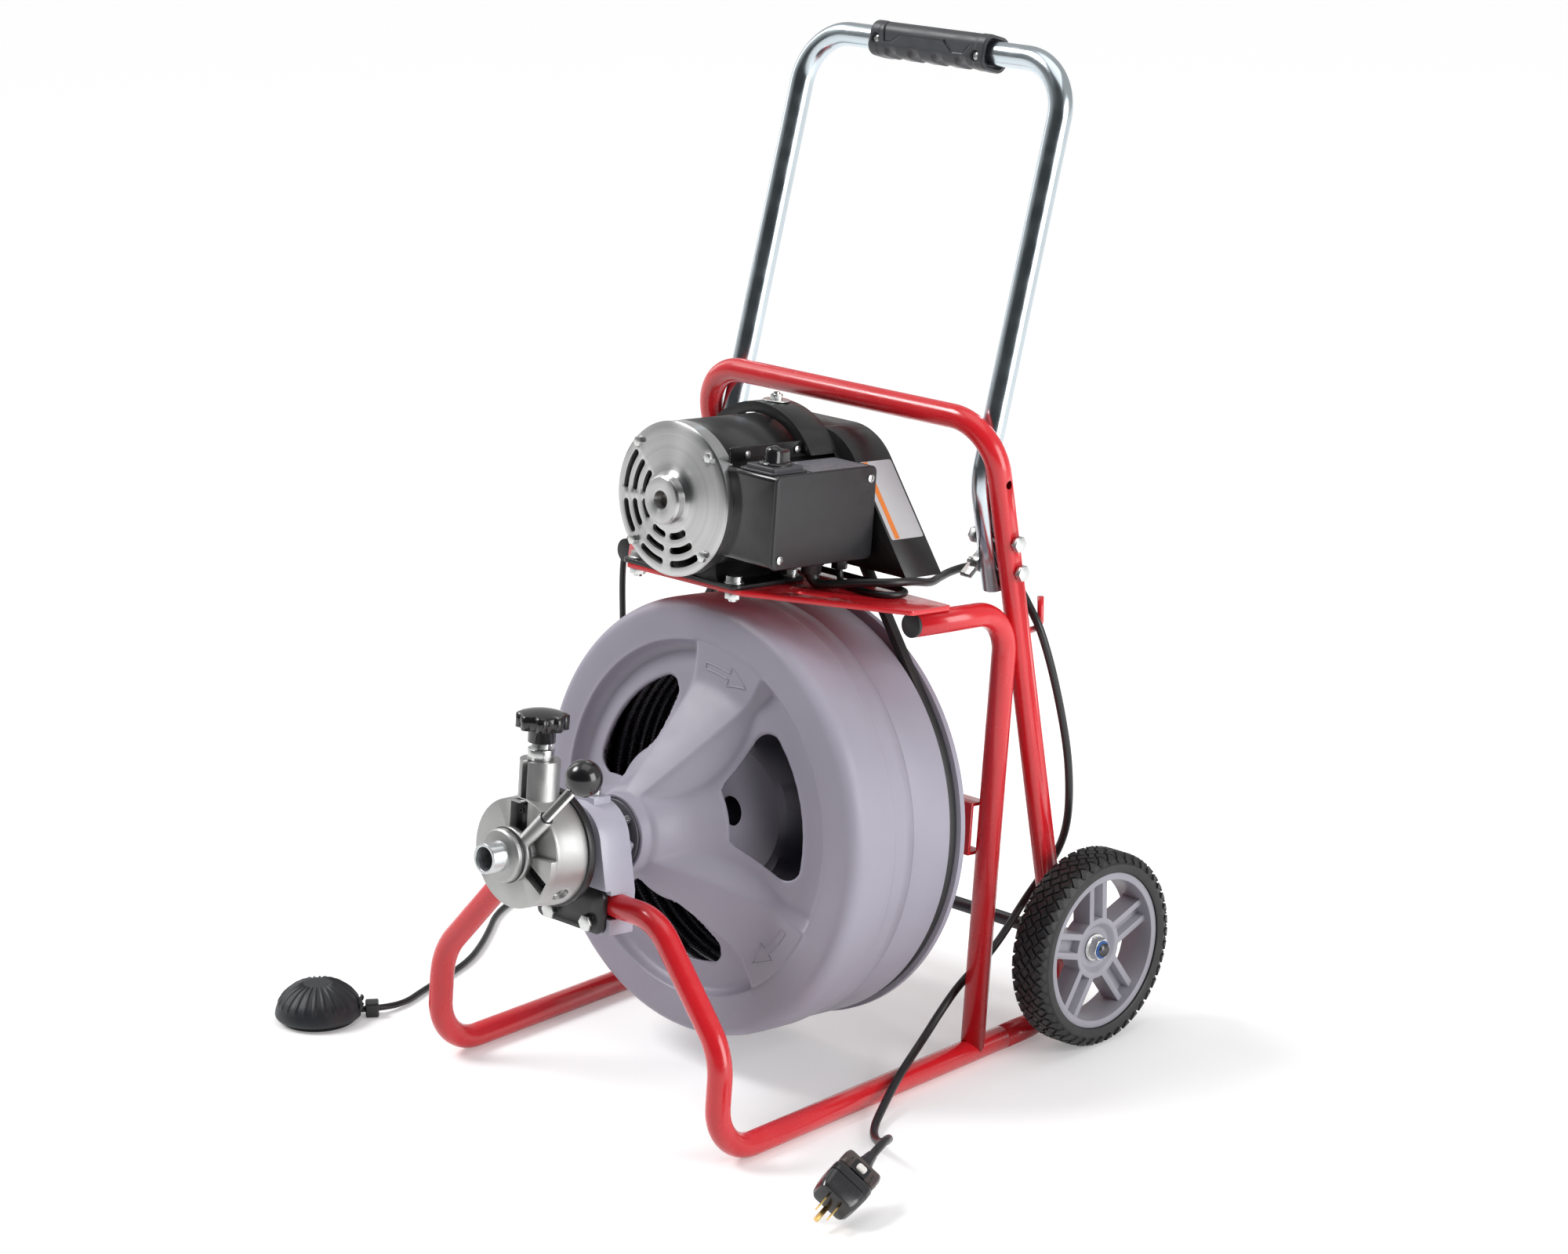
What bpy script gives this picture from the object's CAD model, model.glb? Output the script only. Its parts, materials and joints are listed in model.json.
"""Looks of the electric drain snake: materials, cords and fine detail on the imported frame."""

import json
from collections import Counter
from math import copysign, cos, pi, radians, sin, sqrt

import bmesh
import bpy
import numpy as np
from mathutils import Matrix, Vector


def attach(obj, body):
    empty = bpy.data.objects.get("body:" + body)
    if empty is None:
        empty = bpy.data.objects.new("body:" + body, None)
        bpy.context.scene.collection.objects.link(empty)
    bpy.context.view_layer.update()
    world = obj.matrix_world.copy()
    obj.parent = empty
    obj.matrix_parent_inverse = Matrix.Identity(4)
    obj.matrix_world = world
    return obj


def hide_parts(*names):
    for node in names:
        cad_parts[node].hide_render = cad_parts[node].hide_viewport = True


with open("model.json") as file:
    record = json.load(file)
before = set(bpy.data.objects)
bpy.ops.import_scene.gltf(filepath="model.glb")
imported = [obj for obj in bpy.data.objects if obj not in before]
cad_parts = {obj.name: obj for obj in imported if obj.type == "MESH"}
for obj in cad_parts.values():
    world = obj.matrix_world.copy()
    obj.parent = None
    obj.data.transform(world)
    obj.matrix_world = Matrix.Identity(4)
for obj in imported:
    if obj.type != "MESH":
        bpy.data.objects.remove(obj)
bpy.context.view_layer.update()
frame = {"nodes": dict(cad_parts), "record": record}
nodes = frame["nodes"]

# Shared places, in millimetres, the same as in the part's source
MM = 0.001
RAKE = radians(6.5)
RIGHT = Vector((1, 0, 0))
FORWARD = Vector((0, -cos(RAKE), sin(RAKE)))
UPWARD = Vector((0, sin(RAKE), cos(RAKE)))
DRUM_CENTRE = Vector((0, 28, 228))


def raked(x, rise, ahead):
    """World place in millimetres of a point of the raked frame."""
    return DRUM_CENTRE + RIGHT * x + UPWARD * rise + FORWARD * ahead


def placed(origin, x_way, z_way):
    """Matrix from local millimetres to world metres, with its own x and z directions."""
    z_axis = Vector(z_way).normalized()
    x_axis = Vector(x_way)
    x_axis = (x_axis - z_axis * x_axis.dot(z_axis)).normalized()
    y_axis = z_axis.cross(x_axis)
    turn = Matrix((x_axis, y_axis, z_axis)).transposed().to_4x4()
    return Matrix.Translation(Vector(origin) * MM) @ turn @ Matrix.Scale(MM, 4)


def drum_place(ahead=0.0, x=0.0, rise=0.0):
    """Matrix whose local x is right, y is rise and z runs to the nose."""
    return placed(raked(x, rise, ahead), RIGHT, FORWARD)


def deck_place(rise, x, ahead):
    """Matrix whose local x is right, y is to the back and z is up from the motor plate."""
    return placed(raked(x, rise, ahead), RIGHT, UPWARD)


def add_object(name, data):
    """New object in the scene."""
    piece = bpy.data.objects.new(name, data)
    bpy.context.scene.collection.objects.link(piece)
    return piece


# Materials
GRAIN_STRENGTH = 0.5
ROUGH_SPREAD = 0.06
COAT_ROUGH = 0.08
looks = {}


def feed(tree, node, inputs):
    """Link each named input of a node to a socket, or set it to a value."""
    for name, value in inputs.items():
        if isinstance(value, bpy.types.NodeSocket):
            tree.links.new(value, node.inputs[name])
        else:
            node.inputs[name].default_value = value


def add_node(tree, kind, inputs):
    """New shader node with its inputs linked or set."""
    node = tree.nodes.new("ShaderNode" + kind)
    feed(tree, node, inputs)
    return node


def start_material(name):
    """Node tree, shader and object coordinates of a new material, which is kept among the looks."""
    looks[name] = bpy.data.materials.new(name)
    looks[name].use_nodes = True
    tree = looks[name].node_tree
    coords = tree.nodes.new("ShaderNodeTexCoord").outputs["Object"]
    return tree, tree.nodes["Principled BSDF"], coords


def reach_and_along(tree, coords, matrix):
    """How far a place lies from a local frame's z axis, and where it lies along that axis."""
    turn = matrix.to_3x3().normalized().inverted()
    shift = -(turn @ matrix.translation)
    local = add_node(tree, "Mapping", {"Vector": coords, "Rotation": turn.to_euler(), "Location": shift})
    split = add_node(tree, "SeparateXYZ", {"Vector": local.outputs["Vector"]})
    flat = add_node(tree, "CombineXYZ", {"X": split.outputs["X"], "Y": split.outputs["Y"]})
    length = add_node(tree, "VectorMath", {0: flat.outputs["Vector"]})
    length.operation = "LENGTH"
    return length.outputs["Value"], split.outputs["Z"]


def noise(tree, coords, scale, detail=3.0):
    """Noise from 0 to 1."""
    return add_node(tree, "TexNoise", {"Vector": coords, "Scale": scale, "Detail": detail}).outputs["Fac"]


def spread(tree, value, low, high):
    """The middle of a noise's range stretched to run from low to high."""
    return add_node(tree, "MapRange", {
        "Value": value, "From Min": 0.3, "From Max": 0.7, "To Min": low, "To Max": high,
    }).outputs["Result"]


def tinted(tree, factor, first, second):
    """Colour between two colours."""
    node = tree.nodes.new("ShaderNodeMix")
    node.data_type = "RGBA"
    colours = {socket.name: socket for socket in node.inputs if socket.type == "RGBA"}
    colours["A"].default_value = (*first, 1)
    colours["B"].default_value = (*second, 1)
    tree.links.new(factor, node.inputs["Factor"])
    return [socket for socket in node.outputs if socket.type == "RGBA"][0]


def mottled(tree, value, colour, darker, lighter):
    """Colour that runs with a noise from a darker to a lighter tone of itself."""
    dark = [c * darker for c in colour]
    light = [min(1.0, c * lighter) for c in colour]
    return tinted(tree, spread(tree, value, 0, 1), dark, light)


def bumped(tree, shader, height, strength, distance, base=None):
    """Bump from a height, on top of another bump if one is given."""
    node = add_node(tree, "Bump", {"Height": height, "Strength": strength, "Distance": distance})
    if base is not None:
        tree.links.new(base, node.inputs["Normal"])
    tree.links.new(node.outputs["Normal"], shader.inputs["Normal"])
    return node.outputs["Normal"]


def finish(name, colour, rough, metal=0.0, shade=0.12, patch=18.0, grain=1500.0, grain_depth=0.00004,
           wave=0.0, wave_depth=0.0, coat=0.0):
    """Plain finish: patchy colour and roughness, fine grain and an optional long wave in the surface."""
    tree, shader, coords = start_material(name)
    blotch = noise(tree, coords, patch * 4)
    feed(tree, shader, {
        "Base Color": mottled(tree, noise(tree, coords, patch), colour, 1 - shade, 1 + shade),
        "Roughness": spread(tree, blotch, rough - ROUGH_SPREAD, rough + ROUGH_SPREAD),
        "Metallic": metal, "Coat Weight": coat, "Coat Roughness": COAT_ROUGH,
    })
    normal = bumped(tree, shader, noise(tree, coords, grain, 2.0), GRAIN_STRENGTH, grain_depth)
    if wave:
        bumped(tree, shader, noise(tree, coords, wave, 1.0), GRAIN_STRENGTH, wave_depth, normal)


def spun(name, colour, rough, matrix):
    """Turned metal: fine rings about a local z axis in colour and bump, and highlights drawn out by them."""
    tree, shader, coords = start_material(name)
    reach, along = reach_and_along(tree, coords, matrix)
    ring_coords = add_node(tree, "CombineXYZ", {"X": reach, "Z": along}).outputs["Vector"]
    ring = noise(tree, ring_coords, 900.0, 4.0)
    tangent = tree.nodes.new("ShaderNodeTangent")
    tangent.direction_type = "RADIAL"
    tangent.axis = "Y"
    feed(tree, shader, {
        "Base Color": mottled(tree, ring, colour, 0.82, 1.12),
        "Roughness": spread(tree, noise(tree, coords, 30.0), rough - 0.02, rough + 0.02),
        "Metallic": 1.0, "Anisotropic": 0.8, "Anisotropic Rotation": 0.25,
        "Tangent": tangent.outputs["Tangent"],
    })
    bumped(tree, shader, ring, 0.2, 0.00003)


def parted(name, matrix, measure, limit, near, far):
    """Two finishes of one metal piece, each a colour and a roughness, that meet where the reach from a local
    z axis, or the place along it, passes a limit in millimetres."""
    tree, shader, coords = start_material(name)
    reach, along = reach_and_along(tree, coords, matrix)
    side = add_node(tree, "MapRange", {
        "Value": reach if measure == "reach" else along,
        "From Min": (limit - 0.1) * MM, "From Max": (limit + 0.1) * MM,
    }).outputs["Result"]
    rough = add_node(tree, "MapRange", {"Value": side, "To Min": near[1], "To Max": far[1]})
    feed(tree, shader, {
        "Base Color": tinted(tree, side, near[0], far[0]),
        "Roughness": rough.outputs["Result"], "Metallic": 0.9,
    })
    bumped(tree, shader, noise(tree, coords, 1300.0, 2.0), GRAIN_STRENGTH, 0.00008)


CAST = (0.40, 0.40, 0.395)
NOSE_STEP = 328.4
LEVER_BOSS_REACH = 56.0
MOTOR_PLACE = drum_place(0, -21, 293)
finish("red_frame", (0.66, 0.016, 0.024), 0.24, shade=0.03, coat=0.35)
finish("black_plastic", (0.014, 0.014, 0.016), 0.38, grain=1900, grain_depth=0.00008)
finish("dark_steel", (0.10, 0.10, 0.105), 0.36, 1.0)
finish("zinc_steel", (0.64, 0.65, 0.64), 0.28, 1.0, shade=0.08, patch=60)
finish("grey_plastic", (0.30, 0.29, 0.33), 0.42, shade=0.06, grain_depth=0.00006)
finish("tyre_rubber", (0.014, 0.014, 0.015), 0.52, grain=900, grain_depth=0.0001)
finish("grey_casting", (0.44, 0.43, 0.51), 0.36, shade=0.05, wave=140, wave_depth=0.0003, coat=0.2)
finish("black_paint", (0.013, 0.013, 0.014), 0.34, shade=0.1, wave=500, wave_depth=0.00008)
finish("bearing_steel", (0.5, 0.5, 0.5), 0.25, 1.0)
spun("spun_aluminium", (0.56, 0.56, 0.56), 0.30, MOTOR_PLACE)
finish("winding_steel", (0.22, 0.2, 0.18), 0.45, 1.0)
finish("cast_pulley", (0.4, 0.4, 0.4), 0.4, 1.0)
finish("belt_rubber", (0.012, 0.012, 0.013), 0.5, grain=900, grain_depth=0.0001)
finish("switch_grey", (0.055, 0.055, 0.062), 0.34, shade=0.1)
finish("drum_plastic", (0.335, 0.318, 0.385), 0.46, shade=0.05, patch=9, grain=1150, grain_depth=0.00016)
finish("cable_steel", (0.07, 0.07, 0.078), 0.26, 0.85, grain=2000)
finish("cast_aluminium", (0.42, 0.42, 0.415), 0.40, 0.85, shade=0.06, grain=1300, grain_depth=0.00016)
finish("polished_steel", (0.72, 0.71, 0.69), 0.14, 1.0, shade=0.04)
finish("ball_plastic", (0.010, 0.010, 0.011), 0.2, shade=0.1, coat=0.4)
finish("handle_zinc", (0.58, 0.65, 0.69), 0.20, 1.0, shade=0.05, patch=12, wave=30, wave_depth=0.0002)
finish("grip_plastic", (0.050, 0.052, 0.058), 0.42, grain=1700, grain_depth=0.00012)
finish("pedal_rubber", (0.020, 0.022, 0.026), 0.48, grain_depth=0.0001)
finish("plug_plastic", (0.014, 0.014, 0.016), 0.22, coat=0.2)
finish("plug_brass", (0.72, 0.50, 0.19), 0.22, 1.0, shade=0.08, patch=200)
finish("button_white", (0.74, 0.72, 0.68), 0.35, shade=0.04)
finish("cord_rubber", (0.012, 0.012, 0.013), 0.36, grain=1200, grain_depth=0.00006)
finish("gloss_black", (0.011, 0.011, 0.012), 0.2, shade=0.1, coat=0.3)
finish("smoky_plate", (0.16, 0.16, 0.18), 0.3, shade=0.1, patch=40)
finish("panel_grey", (0.50, 0.50, 0.52), 0.4, shade=0.05, patch=30)
finish("orange_stripe", (0.72, 0.20, 0.03), 0.4, shade=0.06, patch=60)
finish("blue_nylon", (0.03, 0.10, 0.32), 0.35)
finish("smoky_cover", (0.055, 0.040, 0.036), 0.12, patch=60, coat=0.5)
finish("hub_ring", (0.085, 0.083, 0.095), 0.38, shade=0.1, patch=60)
parted("nose_metal", drum_place(), "along", NOSE_STEP, (CAST, 0.44), ((0.58, 0.60, 0.61), 0.27))
parted("lever_metal", drum_place(), "reach", LEVER_BOSS_REACH, (CAST, 0.46), ((0.70, 0.69, 0.67), 0.15))
own_look = {
    "hub_collar": "hub_ring", "feed_knob": "gloss_black", "switch_box": "gloss_black",
    "feed_nose": "nose_metal", "feed_lever": "lever_metal",
}
slot_of = {row["node"]: row["material_slot"] for row in frame["record"]["subparts"]}


def dress(piece, slot, look=None):
    """Give a piece a look, which is that of its record slot unless another is named."""
    piece.data.materials.clear()
    piece.data.materials.append(looks[look or slot])


# CAD nodes: each gets its look, smooth rounds and small rounded edges
EDGE_ROUND = {
    "bearing_block": 1.2, "clamp_plate": 0.8, "hex_bolts": 0.4, "motor_plate": 0.7, "rear_cross_member": 1.0,
    "axle_fasteners": 0.5, "right_wheel_centre": 0.7, "left_wheel_centre": 0.7, "feed_housing": 0.7,
    "feed_nose": 0.5, "feed_back_plate": 0.6, "front_bell": 0.4, "motor_base": 0.6, "belt_guard": 0.4,
    "switch_box": 0.8, "handle_bolts": 0.4, "wing_nuts": 0.6, "hub_collar": 0.8, "lock_nut": 0.5,
    "motor_screws": 0.3, "tube_end_caps": 0.8, "plug_blades": 0.3, "drive_belt": 0.8, "roller_carriers": 0.3,
    "drum_rear_shell": 0.6, "switch_cover": 0.3, "glands": 0.5, "rotor": 0.3,
}
WELD_REACH = 0.00001
ROUNDED_ANGLE = radians(38)
SHARP_ANGLE = radians(34)
for name, node in nodes.items():
    dress(node, slot_of[name], own_look.get(name))
    weld = node.modifiers.new("weld", "WELD")
    weld.merge_threshold = WELD_REACH
    if name in EDGE_ROUND:
        bevel = node.modifiers.new("edge", "BEVEL")
        bevel.width = EDGE_ROUND[name] * MM
        bevel.segments = 2
        bevel.limit_method = "ANGLE"
        bevel.angle_limit = ROUNDED_ANGLE
        bevel.use_clamp_overlap = True
    node.data.shade_smooth()
    node.data.set_sharp_from_angle(angle=SHARP_ANGLE)


# Mesh building
def moved(matrix, points):
    """Local points in millimetres as an array of world points in metres."""
    local = np.asarray(points, float).reshape(-1, 3)
    table = np.array(matrix)
    return local @ table[:3, :3].T + table[:3, 3]


def grid_faces(rows, columns, wrap_rows=False, wrap_columns=False):
    """Quads of a grid of points listed row by row."""
    faces = []
    for row in range(rows if wrap_rows else rows - 1):
        this = row * columns
        below = (row + 1) % rows * columns
        for column in range(columns if wrap_columns else columns - 1):
            beside = (column + 1) % columns
            faces.append((this + column, this + beside, below + beside, below + column))
    return faces


def lathe(profile, segments):
    """Local points and faces of a profile of (radius, along) turned about local z."""
    points = []
    for radius, along in profile:
        for step in range(segments):
            turn = 2 * pi * step / segments
            points.append((radius * cos(turn), radius * sin(turn), along))
    return points, grid_faces(len(profile), segments, wrap_columns=True)


def capped_faces(rows, columns):
    """Faces of closed rings in rows, with both ends capped."""
    faces = grid_faces(rows, columns, wrap_columns=True)
    faces.append(tuple(range(columns)))
    last = (rows - 1) * columns
    faces.append(tuple(range(last + columns - 1, last - 1, -1)))
    return faces


def loft(rings):
    """Points and faces of closed rings of equal count, with both ends capped."""
    return [p for ring in rings for p in ring], capped_faces(len(rings), len(rings[0]))


def joined(shapes):
    """One list of points and faces from several shapes."""
    points = []
    faces = []
    for shape_points, shape_faces in shapes:
        start = len(points)
        points.extend(tuple(p) for p in shape_points)
        faces.extend(tuple(start + i for i in face) for face in shape_faces)
    return points, faces


def assemble(name, shapes, body, slot, look=None, crease=35):
    """One piece that rides on a CAD body, from local shapes that each come with a matrix to place them."""
    points, faces = joined([(moved(matrix, local), faces) for matrix, (local, faces) in shapes])
    mesh = bpy.data.meshes.new(name)
    mesh.from_pydata(points, [], faces)
    work = bmesh.new()
    work.from_mesh(mesh)
    bmesh.ops.remove_doubles(work, verts=work.verts, dist=1e-6)
    bmesh.ops.recalc_face_normals(work, faces=work.faces)
    work.to_mesh(mesh)
    work.free()
    mesh.shade_smooth()
    mesh.set_sharp_from_angle(angle=radians(crease))
    piece = add_object(name, mesh)
    dress(piece, slot, look)
    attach(piece, body)
    return piece


def thicken(piece, wall_thick):
    """Give an open surface a wall that grows inwards."""
    wall = piece.modifiers.new("wall", "SOLIDIFY")
    wall.thickness = wall_thick * MM
    wall.offset = -1


def rounded_box(half_wide, half_tall, corner, steps=6):
    """Closed outline of a rounded rectangle."""
    outline = []
    for quarter in range(4):
        centre_x = (half_wide - corner) * (1 if quarter in (0, 3) else -1)
        centre_y = (half_tall - corner) * (1 if quarter in (0, 1) else -1)
        for step in range(steps + 1):
            turn = radians(90 * quarter + 90 * step / steps)
            outline.append((centre_x + corner * cos(turn), centre_y + corner * sin(turn)))
    return outline


def slab_rings(half_wide, half_tall, corner, levels):
    """Rings of a plate with rounded corners, one for each (inset, place along local z)."""
    rings = []
    for inset, along in levels:
        outline = rounded_box(half_wide - inset, half_tall - inset, max(corner - inset, 0.1))
        rings.append([(x, y, along) for x, y in outline])
    return rings


def slab(half_wide, half_tall, corner, low, high, edge):
    """Plate with rounded corners and softened edges that stands from low to high along local z."""
    levels = ((edge, low), (0, low + edge), (0, high - edge), (edge, high))
    return loft(slab_rings(half_wide, half_tall, corner, levels))


def holed_slab(half_wide, half_tall, corner, hole, low, high, edge):
    """Plate with rounded corners, a softened front edge and a round hole."""
    rings = slab_rings(half_wide, half_tall, corner, ((0, low), (0, high - edge), (edge, high)))
    for along in (high, low):
        ring = []
        for x, y in rounded_box(half_wide, half_tall, corner):
            reach = sqrt(x * x + y * y)
            ring.append((hole * x / reach, hole * y / reach, along))
        rings.append(ring)
    points = [p for ring in rings for p in ring]
    return points, grid_faces(len(rings), len(rings[0]), wrap_rows=True, wrap_columns=True)


def cross_screw(radius, high):
    """Pan screw head with a cross recess that stands on local z = 0."""
    steps = 10
    arm = 0.17 * radius
    reach = 0.62 * radius
    recess = 0.5 * high
    head = [(radius * step / steps, high * (1 - 0.45 * (step / steps) ** 2)) for step in range(steps + 1)]
    round_points, faces = lathe(head + [(radius, -0.2)], 48)
    points = []
    for x, y, z in round_points:
        narrow, wide = sorted((abs(x), abs(y)))
        in_cross = narrow < arm and wide < reach
        points.append((x, y, z - recess if in_cross else z))
    return points, faces


def path_frames(path):
    """Two square directions beside a path, carried along it without twist."""
    path = np.asarray(path, float)
    ways = np.gradient(path, axis=0)
    ways /= np.linalg.norm(ways, axis=1)[:, None]
    side = np.cross(ways[0], (0.0, 0.0, 1.0))
    if np.linalg.norm(side) < 1e-6:
        side = np.array((1.0, 0.0, 0.0))
    sides = []
    for way in ways:
        side = side - way * (side @ way)
        side = side / np.linalg.norm(side)
        sides.append(side)
    sides = np.array(sides)
    return sides, np.cross(ways, sides)


def run_lengths(path):
    """Length along a path up to each of its points."""
    steps = np.linalg.norm(np.diff(path, axis=0), axis=1)
    return np.concatenate([[0], np.cumsum(steps)])


def tube(path, radius, segments):
    """Points and faces of a tube along a path in millimetres. The radius is one number, one for each ring,
    or one for each point of each ring."""
    path = np.asarray(path, float)
    sides, ups = path_frames(path)
    turns = np.arange(segments) * 2 * pi / segments
    radii = np.asarray(radius, float)
    if radii.ndim == 1:
        radii = radii[:, None]
    radii = np.broadcast_to(radii, (len(path), segments))
    ring = sides[:, None, :] * np.cos(turns)[None, :, None] + ups[:, None, :] * np.sin(turns)[None, :, None]
    points = path[:, None, :] + ring * radii[:, :, None]
    return points.reshape(-1, 3), capped_faces(len(path), segments)


def smooth_line(table, values):
    """Smooth curve through (value, height) pairs."""
    table = np.asarray(table, float)
    xs = table[:, 0]
    ys = table[:, 1]
    slopes = np.gradient(ys, xs)
    values = np.clip(values, xs[0], xs[-1])
    cell = np.clip(np.searchsorted(xs, values) - 1, 0, len(xs) - 2)
    span = xs[cell + 1] - xs[cell]
    t = (values - xs[cell]) / span
    return ((1 + 2 * t) * (1 - t) ** 2 * ys[cell] + t * (1 - t) ** 2 * span * slopes[cell]
            + t ** 2 * (3 - 2 * t) * ys[cell + 1] + t ** 2 * (t - 1) * span * slopes[cell + 1])


def ease(low, high, value):
    """Smooth step from 0 at low to 1 at high."""
    t = np.clip((value - low) / (high - low), 0, 1)
    return t * t * (3 - 2 * t)


def nearest_on(points, start, stop):
    """Nearest places to flat points on a straight run."""
    run = stop - start
    share = np.clip(((points - start) @ run) / (run @ run), 0, 1)
    return start + share[..., None] * run


# Drum front: a moulded cone with three ridges, three pockets and a window in each pocket
SEAM_AHEAD = 14.0
NECK_EDGE = 39.5
NECK_FACE = 178.0
RIM_EDGE = 163.0
RIM_AHEAD = 93.5
RIDGE_FOOT = 128.0
RIDGE_AHEAD = 92.5
RIDGE_FIRST = 78.0
POCKET_ANGLES = (18, 138, 258)
WINDOW_INNER = 72.0
WINDOW_OUTER = 132.0
WINDOW_INNER_HALF = 25.0
WINDOW_OUTER_HALF = 33.0
WINDOW_ROUND = 15.0
SHELL_WALL = 4.0
RIDGE_BLEND = 60.0
GROOVE_DEEP = 0.8
GROOVE_WIDE = 1.2
CREST_SHARE = 0.275
FLANK_LEAST = 4.0
FLANK_SHARE = 0.55
neck_rim = [
    (37.6, 179.5), (36.5, 182.0), (36.0, 185.0), (36.0, 190.0), (35.7, 190.7), (35.0, 191.0), (32.4, 191.0),
]
pocket_floor = [
    (38, 182), (41, 174), (47, 156), (60, 133), (76, 115.5), (97, 100.5), (134, 87), (148, 83.5), (154, 83),
    (158, 84.5), (161, 88.5), (163, 93.2), (166, 93.5),
]


def drum_face(radius, angle):
    """How far ahead the moulded face stands at a radius and an angle in degrees."""
    cone = NECK_FACE - (radius - NECK_EDGE) * (NECK_FACE - RIDGE_AHEAD) / (RIDGE_FOOT - NECK_EDGE)
    gap = cone - RIDGE_AHEAD
    ridge = np.minimum(RIDGE_AHEAD + (gap + np.sqrt(gap ** 2 + RIDGE_BLEND)) / 2, NECK_FACE)
    groove = GROOVE_DEEP * np.exp(-((radius - RIM_EDGE) / GROOVE_WIDE) ** 2)
    floor = smooth_line(pocket_floor, radius)
    away = np.abs((angle - RIDGE_FIRST + 60) % 120 - 60)
    beside = radius * np.sin(np.radians(away))
    crest = CREST_SHARE * radius - 1.0
    flank = FLANK_LEAST + FLANK_SHARE * np.maximum(ridge - floor, 0)
    share = 1 - ease(crest - 2.5, crest + flank, beside)
    return floor + (ridge - groove - floor) * share


def window_outline():
    """Closed outline of a window shrunk by its corner radius, about the local rise direction."""
    outline = []
    shrink = WINDOW_ROUND
    outer = (WINDOW_OUTER_HALF, WINDOW_OUTER - shrink, 1)
    inner = (WINDOW_INNER_HALF, WINDOW_INNER + shrink, -1)
    for half, ring, sign in (outer, inner):
        inset = half - np.degrees(np.arcsin(shrink / ring))
        for step in np.linspace(-1, 1, 9):
            turn = radians(90 + sign * inset * step)
            outline.append((ring * cos(turn), ring * sin(turn)))
    return np.array(outline)


def outline_distance(points, outline):
    """Signed distance of flat points from a closed outline, negative inside, and the nearest places."""
    best = np.full(len(points), 1e9)
    nearest = np.zeros_like(points)
    inside = np.zeros(len(points), bool)
    for a, b in zip(outline, np.roll(outline, -1, axis=0)):
        foot = nearest_on(points, a, b)
        far = np.linalg.norm(points - foot, axis=1)
        closer = far < best
        best = np.where(closer, far, best)
        nearest = np.where(closer[:, None], foot, nearest)
        crosses = (a[1] > points[:, 1]) != (b[1] > points[:, 1])
        share = (points[:, 1] - a[1]) / ((b[1] - a[1]) or 1e-12)
        inside ^= crosses & (points[:, 0] < a[0] + share * (b[0] - a[0]))
    return np.where(inside, -best, best), nearest


LIP = 3.0
LIP_DROP = 1.6
SNAP_REACH = 2.6
COLUMNS = 480


def drum_front_rows():
    """Radius and place ahead of each row of the drum front, from the seam over the rim to the face."""
    rows = [
        (198, SEAM_AHEAD + 0.3), (198, 26), (198.4, 36), (198.8, 38.4), (200.0, 40.2), (200.7, 42), (201, 58),
        (201, 74),
    ]
    for step in range(1, 12):
        turn = radians(90 * step / 12)
        rows.append((188 + 13 * cos(turn), 76 + 17.3 * sin(turn)))
    rows += [(187, RIM_AHEAD), (180, RIM_AHEAD + 0.2), (172, RIM_AHEAD + 0.2), (167, RIM_AHEAD)]
    return rows


def build_drum_front():
    """Front shell as one grid with windows left out, thickened inwards by a modifier."""
    inner = list(np.arange(165, 150, -0.9)) + list(np.arange(150, NECK_EDGE, -1.7)) + [NECK_EDGE]
    angles = np.arange(COLUMNS) * 360 / COLUMNS
    rows = [(radius, np.full(COLUMNS, ahead)) for radius, ahead in drum_front_rows()]
    rows += [(radius, drum_face(radius, angles)) for radius in inner]
    rows += [(radius, np.full(COLUMNS, ahead)) for radius, ahead in neck_rim]
    radii = np.array([radius for radius, _ in rows])[:, None]
    heights = np.concatenate([ahead for _, ahead in rows])
    turns = np.radians(angles)
    flat = np.stack([radii * np.cos(turns), radii * np.sin(turns)], axis=2).reshape(-1, 2)
    drop = np.zeros(len(flat), bool)
    snapped = flat.copy()
    outline = window_outline()
    for angle in POCKET_ANGLES:
        turn = radians(angle - 90)
        spin = np.array(((cos(turn), sin(turn)), (-sin(turn), cos(turn))))
        local = flat @ spin.T
        far, foot = outline_distance(local, outline)
        edge = far - WINDOW_ROUND
        drop |= edge < 0
        outward = (local - foot) / np.maximum(np.linalg.norm(local - foot, axis=1), 1e-9)[:, None]
        on_edge = foot + outward * WINDOW_ROUND
        close = np.abs(edge) < SNAP_REACH
        snapped[close] = (on_edge @ spin)[close]
        lip = np.clip(1 - np.maximum(edge, 0) / LIP, 0, 1)
        heights -= np.where(edge < LIP, LIP_DROP * lip ** 2, 0)
    faces = [f for f in grid_faces(len(rows), COLUMNS, wrap_columns=True) if drop[list(f)].sum() < 2]
    edge_use = Counter(frozenset(edge) for face in faces for edge in zip(face, face[1:] + face[:1]))
    border = [i for edge, count in edge_use.items() if count == 1 for i in edge]
    flat[border] = snapped[border]
    shape = (np.column_stack([flat, heights]), faces)
    piece = assemble("drum_front", [(drum_place(), shape)], "drum", "drum_plastic", crease=50)
    thicken(piece, SHELL_WALL)
    return piece


drum_front = build_drum_front()
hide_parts("drum_front_shell")
ARROW_LINE = 0.75


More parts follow.
